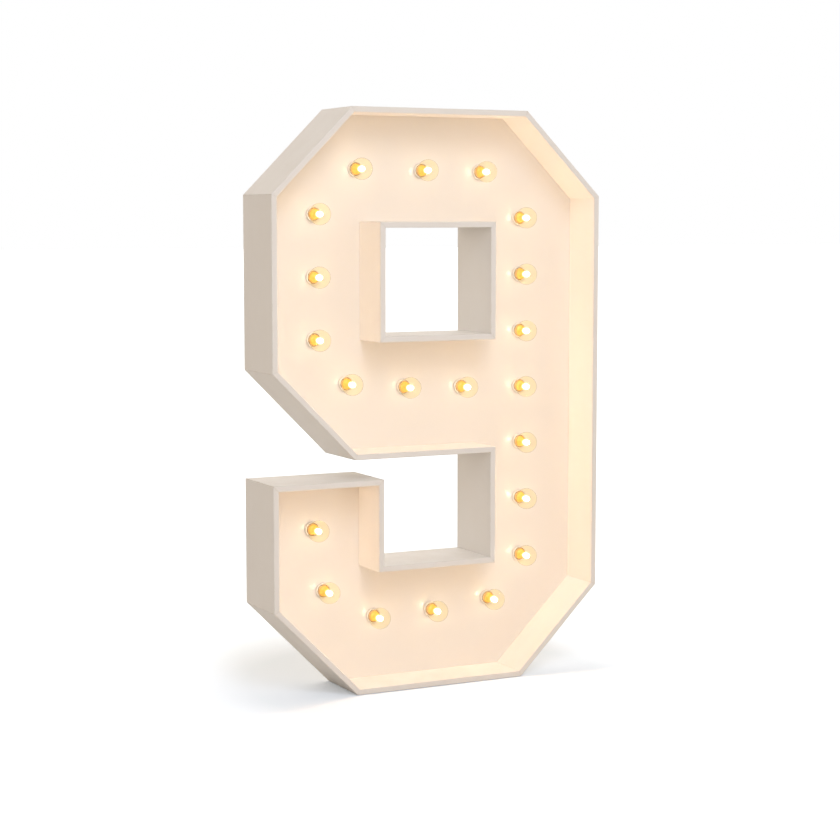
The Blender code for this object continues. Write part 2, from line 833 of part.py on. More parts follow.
def main():
    """Builds the whole marquee number."""
    paint = material("painted_board", (0.80, 0.75, 0.68), 0.55)
    face = material("painted_face", (0.85, 0.79, 0.70), 0.45)
    board = material("rear_board", (0.62, 0.56, 0.48), 0.7)
    glass = material("lamp_glass", (1.0, 0.93, 0.74), 0.05, transmission=0.9)
    white = material("white_plastic", (0.83, 0.80, 0.76), 0.4)
    black = material("black_plastic", (0.02, 0.02, 0.02), 0.45)
    steel = material("zinc_steel", (0.60, 0.60, 0.58), 0.35, metallic=1.0)
    nickel = material("nickel_pin", (0.72, 0.70, 0.66), 0.25, metallic=1.0)

    edges = make_boards(OUTLINE_BOARDS, outline(), paint)
    edges.update(make_boards(COUNTER_BOARDS, counter(), paint))
    lamps = lamp_places()
    screws = rear_screw_places(edges)
    make_face_panel(lamps, face)
    make_rear_panel(screws, board)
    make_lamp_string(lamps, white)
    make_lamps(lamps, glass)
    make_rear_screws(screws, steel)
    make_inlet_housing(black)
    make_inlet_pins(nickel)
    make_rocker(black)
    make_inlet_screws(steel)


for left_over in list(bpy.data.objects):
    bpy.data.objects.remove(left_over)
PARTS = bpy.data.collections.new("light_up_marquee_number")
CUTTERS = bpy.data.collections.new("cutters")
bpy.context.scene.collection.children.link(PARTS)
bpy.context.scene.collection.children.link(CUTTERS)
CUTTERS.hide_render = True
main()
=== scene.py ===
# %% [markdown]
# # A light up marquee number
#
# The object is a figure nine, 1.2 m high: a case of painted boards, open at the front, with a recessed
# face panel that carries rows of clear globe lamps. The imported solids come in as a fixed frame. The
# boards and panels keep their solids and get a finish here. The small turned and moulded pieces are
# replaced by finer ones.

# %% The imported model
import math

import bmesh
import bpy
from mathutils import Matrix, Vector


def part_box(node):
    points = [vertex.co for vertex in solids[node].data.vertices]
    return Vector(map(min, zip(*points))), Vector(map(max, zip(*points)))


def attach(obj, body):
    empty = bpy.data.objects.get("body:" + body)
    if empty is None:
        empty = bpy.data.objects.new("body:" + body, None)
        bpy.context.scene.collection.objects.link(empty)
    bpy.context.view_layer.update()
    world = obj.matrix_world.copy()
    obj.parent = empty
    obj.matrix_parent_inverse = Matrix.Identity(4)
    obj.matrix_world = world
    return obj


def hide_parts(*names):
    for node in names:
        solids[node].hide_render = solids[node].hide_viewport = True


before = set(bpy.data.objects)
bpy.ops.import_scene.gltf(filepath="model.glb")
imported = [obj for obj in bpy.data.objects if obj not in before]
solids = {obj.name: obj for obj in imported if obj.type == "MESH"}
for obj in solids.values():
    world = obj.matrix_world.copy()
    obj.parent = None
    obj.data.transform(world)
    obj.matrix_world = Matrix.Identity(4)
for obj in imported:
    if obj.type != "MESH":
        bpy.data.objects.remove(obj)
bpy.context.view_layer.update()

# %% [markdown]
# ## Camera
#
# The photograph was taken from the left of the number, a little above its middle, with a long lens. The
# place and the lens were fitted to the corners of the case, so that the picture can be laid over the
# photograph.

# %% The camera
CAMERA_PLACE = (-1.9006, -3.7316, 0.9730)
CAMERA_TILT = math.radians(90 - 5.7125)
CAMERA_TURN = math.radians(-26.839)
CAMERA_LENS = 85.606
MIDDLE = Vector((0, 0, 0.6))

scene = bpy.context.scene
camera = bpy.data.objects.new("camera", bpy.data.cameras.new("camera"))
camera.data.lens = CAMERA_LENS
camera.location = CAMERA_PLACE
camera.rotation_euler = (CAMERA_TILT, 0, CAMERA_TURN)
scene.collection.objects.link(camera)
scene.camera = camera
scene.view_settings.view_transform = "Standard"
print("camera", round((camera.location - MIDDLE).length, 3), "m from the middle of the number")

# %% [markdown]
# ## Node helpers
#
# Every finish is a small tree of nodes. Two helpers keep the cells short: one adds a node and fills its
# sockets, either with a value or with a link, and one starts a node group with named inputs and outputs.
# A group holds an effect that several finishes share, and puts out only masks, colours and heights.


# %% Adding nodes and groups
MIX_SOCKETS = (0, 6, 7)  # a Mix node's share, first and second colour
MIX_RESULT = 2


def add(tree, kind, sockets=None, **settings):
    """A shader node with its settings, and with values or links in its sockets."""
    made = tree.nodes.new("ShaderNode" + kind)
    for name, value in settings.items():
        setattr(made, name, value)
    for name, value in (sockets or {}).items():
        if isinstance(value, bpy.types.NodeSocket):
            tree.links.new(value, made.inputs[name])
        else:
            made.inputs[name].default_value = value
    return made


def blend_colours(tree, share, first, second, mode="MIX"):
    """The second colour over the first, by a share."""
    made = add(tree, "Mix", data_type="RGBA", blend_type=mode)
    for place, value in zip(MIX_SOCKETS, (share, first, second)):
        if isinstance(value, bpy.types.NodeSocket):
            tree.links.new(value, made.inputs[place])
        else:
            made.inputs[place].default_value = value
    return made.outputs[MIX_RESULT]


def calculate(tree, operation, first, second):
    """One sum, product or other operation on two values."""
    return add(tree, "Math", {0: first, 1: second}, operation=operation).outputs[0]


def spread(tree, value, low, high, to_low=0.0, to_high=1.0):
    """A value taken from one range to another, and held inside it."""
    sockets = {"Value": value, "From Min": low, "From Max": high, "To Min": to_low, "To Max": to_high}
    return add(tree, "MapRange", sockets).outputs["Result"]


def start_group(name, inputs, outputs):
    """A node group, with (label, kind, value) inputs and (label, kind) outputs."""
    tree = bpy.data.node_groups.new(name, "ShaderNodeTree")
    for label, kind, value in inputs:
        socket = tree.interface.new_socket(label, in_out="INPUT", socket_type="NodeSocket" + kind)
        socket.default_value = value
    for label, kind in outputs:
        tree.interface.new_socket(label, in_out="OUTPUT", socket_type="NodeSocket" + kind)
    given = tree.nodes.new("NodeGroupInput").outputs
    result = tree.nodes.new("NodeGroupOutput").inputs
    return tree, given, result


def use_group(tree, group, sockets):
    """A group placed in a finish, with its own values."""
    made = tree.nodes.new("ShaderNodeGroup")
    made.node_tree = group
    for name, value in sockets.items():
        if isinstance(value, bpy.types.NodeSocket):
            tree.links.new(value, made.inputs[name])
        else:
            made.inputs[name].default_value = value
    return made.outputs


# %% [markdown]
# ## Shared effects
#
# - Uneven tone: no painted or moulded surface has one colour. Two sizes of soft noise move it between two
#   tones.
# - Roller coat: paint from a foam roller dries to a fine orange peel, with a few lazy waves under it.
# - Rubbed edges: a Bevel node finds the edges by the way it bends the normal there, and noise breaks them
#   up.
# - Settled dust: what faces up collects a thin, patchy film.
# - Fine grain: the spark-worn skin of a plastic mould, or the fibre of a board.

# %% Uneven tone
uneven_tone, given, result = start_group(
    "uneven_tone",
    [("Tone", "Color", (1, 1, 1, 1)), ("Other Tone", "Color", (1, 1, 1, 1)), ("Scale", "Float", 6.0)],
    [("Color", "Color")],
)
place = add(uneven_tone, "TexCoord").outputs["Object"]
sockets = {"Vector": place, "Scale": given["Scale"], "Detail": 3.0, "Roughness": 0.55}
broad = add(uneven_tone, "TexNoise", sockets).outputs["Fac"]
narrow_scale = calculate(uneven_tone, "MULTIPLY", given["Scale"], 9.0)
sockets = {"Vector": place, "Scale": narrow_scale, "Detail": 2.0}
narrow = add(uneven_tone, "TexNoise", sockets).outputs["Fac"]
both = calculate(uneven_tone, "ADD", calculate(uneven_tone, "MULTIPLY", narrow, 0.3), broad)
tone = blend_colours(uneven_tone, spread(uneven_tone, both, 0.35, 0.95), given["Tone"], given["Other Tone"])
uneven_tone.links.new(tone, result["Color"])
print("group", uneven_tone.name)

# %% Roller coat
roller_coat, given, result = start_group(
    "roller_coat",
    [("Scale", "Float", 700.0), ("Gloss", "Float", 0.4), ("Swing", "Float", 0.1)],
    [("Height", "Float"), ("Roughness", "Float")],
)
place = add(roller_coat, "TexCoord").outputs["Object"]
peel = add(roller_coat, "TexNoise", {"Vector": place, "Scale": given["Scale"], "Detail": 1.5}).outputs["Fac"]
waves = add(roller_coat, "TexNoise", {"Vector": place, "Scale": 14.0, "Detail": 2.0}).outputs["Fac"]
height = calculate(roller_coat, "ADD", peel, calculate(roller_coat, "MULTIPLY", waves, 2.0))
smears = add(roller_coat, "TexNoise", {"Vector": place, "Scale": 22.0, "Detail": 4.0}).outputs["Fac"]
swing = calculate(roller_coat, "MULTIPLY", calculate(roller_coat, "SUBTRACT", smears, 0.5), given["Swing"])
roller_coat.links.new(height, result["Height"])
roller_coat.links.new(calculate(roller_coat, "ADD", given["Gloss"], swing), result["Roughness"])
print("group", roller_coat.name)

# %% Rubbed edges
rubbed_edges, given, result = start_group(
    "rubbed_edges", [("Reach", "Float", 0.0015), ("Patches", "Float", 60.0)], [("Mask", "Float")]
)
rounded = add(rubbed_edges, "Bevel", {"Radius": given["Reach"]}, samples=4).outputs["Normal"]
straight = add(rubbed_edges, "NewGeometry").outputs["True Normal"]
same = add(rubbed_edges, "VectorMath", {0: rounded, 1: straight}, operation="DOT_PRODUCT").outputs["Value"]
bent = spread(rubbed_edges, calculate(rubbed_edges, "SUBTRACT", 1.0, same), 0.02, 0.18)
place = add(rubbed_edges, "TexCoord").outputs["Object"]
sockets = {"Vector": place, "Scale": given["Patches"], "Detail": 5.0, "Roughness": 0.65}
patches = spread(rubbed_edges, add(rubbed_edges, "TexNoise", sockets).outputs["Fac"], 0.48, 0.62)
rubbed_edges.links.new(calculate(rubbed_edges, "MULTIPLY", bent, patches), result["Mask"])
print("group", rubbed_edges.name)

# %% Settled dust
settled_dust, given, result = start_group("settled_dust", [("Scale", "Float", 18.0)], [("Mask", "Float")])
normal = add(settled_dust, "NewGeometry").outputs["Normal"]
facing = add(settled_dust, "SeparateXYZ", {0: normal}).outputs["Z"]
place = add(settled_dust, "TexCoord").outputs["Object"]
sockets = {"Vector": place, "Scale": given["Scale"], "Detail": 6.0, "Roughness": 0.6}
film = spread(settled_dust, add(settled_dust, "TexNoise", sockets).outputs["Fac"], 0.35, 0.75)
upward = spread(settled_dust, facing, 0.5, 0.95)
settled_dust.links.new(calculate(settled_dust, "MULTIPLY", film, upward), result["Mask"])
print("group", settled_dust.name)

# %% Fine grain
fine_grain, given, result = start_group(
    "fine_grain", [("Scale", "Float", 2500.0), ("Stretch", "Vector", (1, 1, 1))], [("Height", "Float")]
)
place = add(fine_grain, "TexCoord").outputs["Object"]
stretched = add(fine_grain, "Mapping", {"Vector": place, "Scale": given["Stretch"]}).outputs["Vector"]
sockets = {"Vector": stretched, "Scale": given["Scale"], "Detail": 3.0, "Roughness": 0.6}
fine_grain.links.new(add(fine_grain, "TexNoise", sockets).outputs["Fac"], result["Height"])
print("group", fine_grain.name)


# %% [markdown]
# ## Finishes
#
# Each finish is one Principled shader. What is the same all over, such as the metallic value, is set on
# the shader's own socket, and what changes over the surface comes in through the groups.


# %% Starting a finish
def start_finish(name, **values):
    """A material with a Principled shader, and plain values on its sockets."""
    finish = bpy.data.materials.new(name)
    finish.use_nodes = True
    shader = finish.node_tree.nodes["Principled BSDF"]
    for label, value in values.items():
        shader.inputs[label.replace("_", " ")].default_value = value
    return finish, finish.node_tree, shader


def raise_surface(tree, shader, height, strength, distance):
    """A Bump node from a height to the shader's normal."""
    sockets = {"Height": height, "Strength": strength, "Distance": distance}
    bump = add(tree, "Bump", sockets)
    tree.links.new(bump.outputs["Normal"], shader.inputs["Normal"])


# %% [markdown]
# ### Painted boards
#
# The case is cut from fibreboard, primed and rolled with satin white. It is a barely warm white, and it
# greys in soft patches. Where an edge has been rubbed, the sand-coloured board shows through. The face
# panel gets a glossier, smoother coat of a slightly creamier white, in which the lamps throw small
# glints.


# %% Paint on the boards and the face
DUST = (0.60, 0.56, 0.50, 1)
BARE_BOARD = (0.50, 0.38, 0.25, 1)
RUBBED_SHARE = 0.6
DUST_ROUGHENS = 0.15
PEEL_DEPTH = 0.0002


def paint(name, tone, other, gloss, swing, relief, reach, dusty):
    """Rolled paint over a board, rubbed at its edges, with a film of dust on top."""
    finish, tree, shader = start_finish(name)
    colour = use_group(tree, uneven_tone, {"Tone": tone, "Other Tone": other, "Scale": 5.0})["Color"]
    dust = use_group(tree, settled_dust, {"Scale": 18.0})["Mask"]
    colour = blend_colours(tree, calculate(tree, "MULTIPLY", dust, dusty), colour, DUST)
    edges = use_group(tree, rubbed_edges, {"Reach": reach, "Patches": 45.0})["Mask"]
    colour = blend_colours(tree, calculate(tree, "MULTIPLY", edges, RUBBED_SHARE), colour, BARE_BOARD)
    tree.links.new(colour, shader.inputs["Base Color"])
    coat = use_group(tree, roller_coat, {"Scale": 650.0, "Gloss": gloss, "Swing": swing})
    rough = calculate(tree, "ADD", coat["Roughness"], calculate(tree, "MULTIPLY", dust, DUST_ROUGHENS))
    tree.links.new(rough, shader.inputs["Roughness"])
    raise_surface(tree, shader, coat["Height"], relief, PEEL_DEPTH)
    return finish


board_paint = paint(
    "satin_board_paint",
    tone=(0.800, 0.790, 0.766, 1),
    other=(0.774, 0.756, 0.724, 1),
    gloss=0.48,
    swing=0.16,
    relief=0.35,
    reach=0.0012,
    dusty=0.2,
)
face_paint = paint(
    "gloss_face_paint",
    tone=(0.826, 0.790, 0.728, 1),
    other=(0.824, 0.782, 0.714, 1),
    gloss=0.16,
    swing=0.03,
    relief=0.1,
    reach=0.0008,
    dusty=0.06,
)
print("finishes", board_paint.name, face_paint.name)

# %% [markdown]
# ### Rear panel
#
# A thin hardboard with one thin coat of the same paint, so that the fibre still tells in its colour and
# skin.

# %% Hardboard under thin paint
THIN_PAINT = (0.66, 0.63, 0.57, 1)
THINNER_PAINT = (0.56, 0.515, 0.44, 1)
BARE_FIBRE = (0.42, 0.31, 0.20, 1)
RAW_EDGE = (0.33, 0.22, 0.13, 1)
hardboard, tree, shader = start_finish("thin_painted_hardboard")
sockets = {"Tone": THIN_PAINT, "Other Tone": THINNER_PAINT, "Scale": 9.0}
colour = use_group(tree, uneven_tone, sockets)["Color"]
fibre = use_group(tree, fine_grain, {"Scale": 260.0, "Stretch": (1.0, 1.0, 4.0)})["Height"]
colour = blend_colours(tree, spread(tree, fibre, 0.5, 0.75, 0.0, 0.45), colour, BARE_FIBRE)
edges = use_group(tree, rubbed_edges, {"Reach": 0.0015, "Patches": 60.0})["Mask"]
colour = blend_colours(tree, edges, colour, RAW_EDGE)
tree.links.new(colour, shader.inputs["Base Color"])
tree.links.new(spread(tree, fibre, 0.3, 0.7, 0.55, 0.8), shader.inputs["Roughness"])
raise_surface(tree, shader, fibre, 0.5, 0.0003)
print("finish", hardboard.name)


# %% [markdown]
# ### Moulded plastic
#
# The lampholders are warm white, the inlet and its switch black, and the cable a soft white sleeve. One
# recipe serves them all: a slightly uneven tone, a fine grain and paler edges where the skin is worn.


# %% Plastic
WORN_SHARE = 0.7
GRAIN_RELIEF = 0.3


def plastic(name, tone, other, worn, gloss, grain, depth):
    """Moulded plastic with a fine grain, and worn along its edges."""
    finish, tree, shader = start_finish(name)
    colour = use_group(tree, uneven_tone, {"Tone": tone, "Other Tone": other, "Scale": 40.0})["Color"]
    edges = use_group(tree, rubbed_edges, {"Reach": 0.0005, "Patches": 300.0})["Mask"]
    colour = blend_colours(tree, calculate(tree, "MULTIPLY", edges, WORN_SHARE), colour, worn)
    tree.links.new(colour, shader.inputs["Base Color"])
    height = use_group(tree, fine_grain, {"Scale": grain})["Height"]
    tree.links.new(spread(tree, height, 0.3, 0.7, gloss - 0.06, gloss + 0.08), shader.inputs["Roughness"])
    raise_surface(tree, shader, height, GRAIN_RELIEF, depth)
    return finish


holder_white = plastic(
    "holder_white",
    tone=(0.80, 0.77, 0.71, 1),
    other=(0.75, 0.70, 0.62, 1),
    worn=(0.86, 0.84, 0.80, 1),
    gloss=0.32,
    grain=1800.0,
    depth=0.0001,
)
cable_white = plastic(
    "cable_white",
    tone=(0.72, 0.70, 0.66, 1),
    other=(0.62, 0.59, 0.54, 1),
    worn=(0.78, 0.76, 0.72, 1),
    gloss=0.5,
    grain=1200.0,
    depth=0.0001,
)
inlet_black = plastic(
    "inlet_black",
    tone=(0.018, 0.018, 0.019, 1),
    other=(0.030, 0.029, 0.028, 1),
    worn=(0.10, 0.10, 0.10, 1),
    gloss=0.45,
    grain=2600.0,
    depth=0.0002,
)
rocker_black = plastic(
    "rocker_black",
    tone=(0.012, 0.012, 0.013, 1),
    other=(0.020, 0.020, 0.020, 1),
    worn=(0.08, 0.08, 0.08, 1),
    gloss=0.22,
    grain=3000.0,
    depth=0.00005,
)
mark_white = plastic(
    "mark_white",
    tone=(0.80, 0.80, 0.78, 1),
    other=(0.70, 0.70, 0.67, 1),
    worn=(0.60, 0.60, 0.58, 1),
    gloss=0.5,
    grain=3000.0,
    depth=0.00005,
)
print("finishes", holder_white.name, cable_white.name, inlet_black.name, rocker_black.name, mark_white.name)


# %% [markdown]
# ### Metal
#
# The screw caps of the lamps are thin pressed brass, the pins nickel and the screws bright zinc. Their
# gloss is broken by fine lines from the press or the die, and their tone by a little tarnish.


# %% Metal
LINE_RELIEF = 0.25
LINE_DEPTH = 0.00005


def metal(name, tone, tarnish, gloss, lines):
    """Drawn or pressed metal with fine lines and patches of tarnish."""
    finish, tree, shader = start_finish(name, Metallic=1.0)
    colour = use_group(tree, uneven_tone, {"Tone": tone, "Other Tone": tarnish, "Scale": 120.0})["Color"]
    tree.links.new(colour, shader.inputs["Base Color"])
    height = use_group(tree, fine_grain, {"Scale": 900.0, "Stretch": lines})["Height"]
    tree.links.new(spread(tree, height, 0.3, 0.7, gloss - 0.06, gloss + 0.12), shader.inputs["Roughness"])
    raise_surface(tree, shader, height, LINE_RELIEF, LINE_DEPTH)
    return finish


cap_brass = metal("cap_brass", (0.90, 0.66, 0.34, 1), (0.66, 0.42, 0.18, 1), 0.34, (1.0, 8.0, 1.0))
pin_nickel = metal("pin_nickel", (0.72, 0.69, 0.64, 1), (0.58, 0.54, 0.48, 1), 0.22, (6.0, 1.0, 6.0))
screw_zinc = metal("screw_zinc", (0.66, 0.67, 0.66, 1), (0.50, 0.50, 0.47, 1), 0.34, (1.0, 1.0, 1.0))
print("finishes", cap_brass.name, pin_nickel.name, screw_zinc.name)

# %% [markdown]
# ### Lamp glass and filament
#
# The envelope is thin clear glass with a faint straw tint. Its two thin walls bend hardly any light, so
# its index is kept close to one, and the room and the other lamps show only faintly in it. The filaments
# glow by emission. The glass mount under them is smoky amber, and its foot brown. Both carry painted
# glow: a weak emission in their own colour that stands in for the filaments' light falling on them.

# %% Glass, mount and filament
STRAW = (1.0, 0.98, 0.88, 1)
DEEPER_STRAW = (1.0, 0.97, 0.85, 1)
lamp_glass, tree, shader = start_finish("lamp_glass", Transmission_Weight=1.0, IOR=1.05)
colour = use_group(tree, uneven_tone, {"Tone": STRAW, "Other Tone": DEEPER_STRAW, "Scale": 60.0})["Color"]
tree.links.new(colour, shader.inputs["Base Color"])
ripple = use_group(tree, fine_grain, {"Scale": 120.0})["Height"]
tree.links.new(spread(tree, ripple, 0.3, 0.7, 0.0, 0.03), shader.inputs["Roughness"])
raise_surface(tree, shader, ripple, 0.05, 0.0002)


def glowing(name, tone, other, strength, scale, gloss):
    """A finish inside the lamp that emits in its own colour: light on the filaments, painted glow on the
    mount and its flare.
    """
    finish, tree, shader = start_finish(name, Emission_Strength=strength)
    colour = use_group(tree, uneven_tone, {"Tone": tone, "Other Tone": other, "Scale": scale})["Color"]
    tree.links.new(colour, shader.inputs["Base Color"])
    tree.links.new(colour, shader.inputs["Emission Color"])
    smoke = use_group(tree, fine_grain, {"Scale": 6 * scale})["Height"]
    tree.links.new(spread(tree, smoke, 0.3, 0.7, gloss, gloss + 0.15), shader.inputs["Roughness"])
    raise_surface(tree, shader, smoke, 0.15, 0.0001)
    finish.cycles.emission_sampling = "NONE"
    return finish


# The mount and its flare emit weakly: painted glow, the filaments' light on them painted into the finish.
mount_amber_painted_glow = glowing(
    "mount_amber_painted_glow",
    tone=(0.86, 0.47, 0.10, 1),
    other=(0.76, 0.36, 0.055, 1),
    strength=0.5,
    scale=150.0,
    gloss=0.2,
)
flare_brown_painted_glow = glowing(
    "flare_brown_painted_glow",
    tone=(0.76, 0.52, 0.26, 1),
    other=(0.68, 0.44, 0.20, 1),
    strength=0.2,
    scale=150.0,
    gloss=0.2,
)
filament_glow = glowing(
    "filament_glow",
    tone=(1.0, 0.80, 0.46, 1),
    other=(1.0, 0.72, 0.36, 1),
    strength=18.0,
    scale=400.0,
    gloss=0.6,
)
print("finishes", lamp_glass.name, mount_amber_painted_glow.name, flare_brown_painted_glow.name, filament_glow.name)

# %% [markdown]
# ## Boards and panels
#
# These solids have the right shape already, with their mitres, grooves and eased edges, so they stay and
# only take their finish.

# %% Finishing the kept solids
for name, solid in solids.items():
    if name.endswith("_board"):
        solid.material_slots[0].material = board_paint
for name, finish in (
    ("face_panel", face_paint),
    ("rear_panel", hardboard),
    ("inlet_pin_line", pin_nickel),
    ("inlet_pin_neutral", pin_nickel),
    ("inlet_pin_earth", pin_nickel),
):
    solids[name].material_slots[0].material = finish
print(sum(name.endswith("_board") for name in solids), "boards painted")

# %% [markdown]
# ## A lathe
#
# Lamps, holders and screws are all turned shapes. A profile of radius and height is spun about Z, its
# seam and its poles are welded, and its normals are made to point outwards. A finished mesh is then
# turned to the front or the back and moved to its place, so that the object itself stays at the origin.


# %% Turning, easing and placing
MM = 0.001
WELD = 0.001 * MM
TURN_STEPS = 40
SHARP_EDGE = math.radians(35)
SIDE_SHARE = 0.45
TO_FRONT = Matrix.Rotation(math.radians(90), 4, "X")
TO_BACK = Matrix.Rotation(math.radians(-90), 4, "X")


def eased(profile, reach, steps=3):
    """A profile with its corners rounded off over a reach in millimetres, short of half a side."""
    points = [Vector(point) for point in profile]
    result = [points[0]]
    for before, corner, after in zip(points, points[1:], points[2:]):
        into = min(reach, (corner - before).length * SIDE_SHARE)
        out = min(reach, (after - corner).length * SIDE_SHARE)
        start = corner + (before - corner).normalized() * into
        end = corner + (after - corner).normalized() * out
        for step in range(steps + 1):
            share = step / steps
            result.append(start.lerp(corner, share).lerp(corner.lerp(end, share), share))
    return [*result, points[-1]]


def lathe(profile, steps=TURN_STEPS):
    """A bmesh spun about Z from pairs of radius and height in millimetres."""
    shape = bmesh.new()
    points = [shape.verts.new((radius * MM, 0, height * MM)) for radius, height in profile]
    lines = [shape.edges.new(pair) for pair in zip(points, points[1:])]
    bmesh.ops.spin(
        shape,
        geom=points + lines,
        cent=(0, 0, 0),
        axis=(0, 0, 1),
        angle=math.tau,
        steps=steps,
        use_merge=True,
    )
    bmesh.ops.remove_doubles(shape, verts=shape.verts, dist=WELD)
    bmesh.ops.recalc_face_normals(shape, faces=shape.faces)
    return shape


def mesh_of(name, shape, finish):
    """A finished mesh from a bmesh, smooth except at its sharp edges."""
    mesh = bpy.data.meshes.new(name)
    shape.to_mesh(mesh)
    shape.free()
    mesh.shade_smooth()
    mesh.set_sharp_from_angle(angle=SHARP_EDGE)
    mesh.materials.append(finish)
    return mesh


def place_piece(name, mesh, matrix, replaced, body="case"):
    """A copy of a mesh, in its place, as a piece that rides on a body."""
    own = mesh.copy()
    own.name = name
    own.transform(matrix)
    made = bpy.data.objects.new(name, own)
    scene.collection.objects.link(made)
    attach(made, body)
    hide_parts(*replaced)
    return made


# %% [markdown]
# ## Where the lamps are
#
# Each lamp's solid says where it is. The lathe's zero is put on the front of the face panel, so heights
# in the profiles are heights above the panel, as a maker would measure them.

# %% Lamp places
face_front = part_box("face_panel")[0].y
lamp_names = sorted(name for name in solids if name.startswith("globe_lamp_"))
lamp_seats = []
for name in lamp_names:
    low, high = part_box(name)
    lamp_seats.append(Vector(((low.x + high.x) / 2, face_front, (low.z + high.z) / 2)))
print(len(lamp_seats), "lamps, on a face at y =", round(face_front, 4))

# %% [markdown]
# ## Lampholders
#
# A holder is moulded in warm white. Its rounded collar stands 7 mm proud of the face, its mouth is wider
# than the screw cap, so that a dark ring of shadow shows round the cap, and a flange bears on the panel
# from behind.

# %% Lampholders
HOLDER_PROFILE = (
    (0, -22.3),
    (13.6, -22.3),
    (13.6, 6.2),
    (13.9, 7.0),
    (15.6, 7.0),
    (15.6, -9.3),
    (19.5, -9.3),
    (19.5, -12.3),
    (16.2, -13.3),
    (15.0, -26.8),
    (0, -26.8),
)
holder = mesh_of("lampholder", lathe(eased(HOLDER_PROFILE, 0.6)), holder_white)
for number, seat in enumerate(lamp_seats, 1):
    matrix = Matrix.Translation(seat) @ TO_FRONT
    place_piece(f"lampholder_{number:02d}", holder, matrix, ["lamp_string"])
print("holder of", len(holder.polygons), "faces, placed", len(lamp_seats), "times")

# %% [markdown]
# ## The cable of the string
#
# One cable runs from the inlet up to the first holder and through them all, behind the panel. A curve
# with a round section is the natural way to make it. Its route repeats the solid's: the shares of the way
# from the inlet to the first holder, and then the holders themselves.

# %% The string's cable
CABLE_RADIUS = 0.003
FIRST_TAB = 0.0083
SOCKET_BELOW_MIDDLE = 0.013
TAB_TO_CABLE = 0.0033
FEED_SHARES = (
    (0.15, 0.0, 0.0),
    (0.40, 0.01, 0.15),
    (0.75, 0.10, 0.45),
    (1.25, 0.32, 0.85),
    (1.50, 0.62, 1.00),
    (1.38, 0.90, 1.00),
)
string_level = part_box("lamp_string")[1].y - CABLE_RADIUS
low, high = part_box("inlet_housing")
inlet_middle = (low + high) / 2
cable_start = Vector((inlet_middle.x - FIRST_TAB, low.y - TAB_TO_CABLE, inlet_middle.z - SOCKET_BELOW_MIDDLE))
first_holder = Vector((lamp_seats[0].x, string_level, lamp_seats[0].z))
span = first_holder - cable_start
cable_route = [cable_start]
cable_route += [
    cable_start + Vector((span.x * across, span.y * back, span.z * up)) for across, up, back in FEED_SHARES
]
cable_route += [Vector((seat.x, string_level, seat.z)) for seat in lamp_seats]
cable_curve = bpy.data.curves.new("string_cable", "CURVE")
cable_curve.dimensions = "3D"
cable_curve.bevel_depth = CABLE_RADIUS
cable_curve.bevel_resolution = 3
cable_curve.use_fill_caps = True
spline = cable_curve.splines.new("BEZIER")
spline.bezier_points.add(len(cable_route) - 1)
for point, spot in zip(spline.bezier_points, cable_route):
    point.co = spot
    point.handle_left_type = point.handle_right_type = "AUTO"
cable_helper = bpy.data.objects.new("cable_helper", cable_curve)
scene.collection.objects.link(cable_helper)
bpy.context.view_layer.update()
seen = cable_helper.evaluated_get(bpy.context.evaluated_depsgraph_get())
cable_mesh = bpy.data.meshes.new_from_object(seen)
bpy.data.objects.remove(cable_helper)
cable_mesh.materials.clear()
cable_mesh.materials.append(cable_white)
place_piece("string_cable", cable_mesh, Matrix.Identity(4), ["lamp_string"])
print("cable of", len(cable_mesh.polygons), "faces past", len(cable_route), "points")

# %% [markdown]
# ## Globe lamps
#
# Each lamp is made of the pieces of a real one: a blown envelope with a thin wall, a pressed screw cap
# with its insulator and its contact, a glass mount on a wide flare in the neck, and four straight
# filaments that fan out from the mount's tip.

# %% Envelope
GLOBE_HEIGHT = 36.0
GLOBE_RADIUS = 22.5
GLOBE_STEPS = 26
NECK_TURN = math.radians(134)
GLASS_WALL = 0.3
NECK_FOOT = 4.0
NECK_RADIUS = 12.7

globe_arc = [
    (
        GLOBE_RADIUS * math.sin(NECK_TURN * step / GLOBE_STEPS),
        GLOBE_HEIGHT + GLOBE_RADIUS * math.cos(NECK_TURN * step / GLOBE_STEPS),
    )
    for step in range(GLOBE_STEPS + 1)
]
neck_line = [globe_arc[-1], (NECK_RADIUS + 0.5, 14.0), (NECK_RADIUS, 10.5), (NECK_RADIUS, NECK_FOOT)]
envelope_shape = lathe([*globe_arc[:-1], *eased(neck_line, 2.2, 4)])
bmesh.ops.solidify(envelope_shape, geom=envelope_shape.faces[:], thickness=GLASS_WALL * MM)
envelope = mesh_of("lamp_envelope", envelope_shape, lamp_glass)
widest = max(vertex.co.xy.length for vertex in envelope.vertices)
print("envelope of", len(envelope.polygons), "faces, widest", round(widest / MM, 2), "mm")

# %% Screw cap
THREAD_RIDGES = 4
THREAD_PITCH = 3.6
CAP_FOOT = -13.0
ridges = []
for ridge in range(THREAD_RIDGES):
    foot = CAP_FOOT + ridge * THREAD_PITCH
    ridges += [(12.5, foot), (12.8, foot + 0.9), (13.2, foot + 1.8), (12.8, foot + 2.7)]
CAP_BASE = ((9.6, -15.6), (11.6, -14.4))
CAP_RIM = ((12.5, 1.4), (13.2, 2.0), (13.2, 4.4), (12.9, 5.0), (12.7, 4.2))
cap = mesh_of("screw_cap", lathe(eased([*CAP_BASE, *ridges, *CAP_RIM], 0.5)), cap_brass)
INSULATOR_PROFILE = ((9.8, -15.4), (9.6, -16.2), (6.2, -19.6), (4.6, -20.0), (4.6, -18.0), (0, -18.0))
insulator = mesh_of("cap_insulator", lathe(eased(INSULATOR_PROFILE, 0.4)), inlet_black)
CONTACT_PROFILE = ((4.4, -19.0), (4.4, -20.6), (3.0, -21.6), (0, -21.9))
contact = mesh_of("cap_contact", lathe(eased(CONTACT_PROFILE, 0.5)), screw_zinc)
print("cap of", len(cap.polygons), "faces")

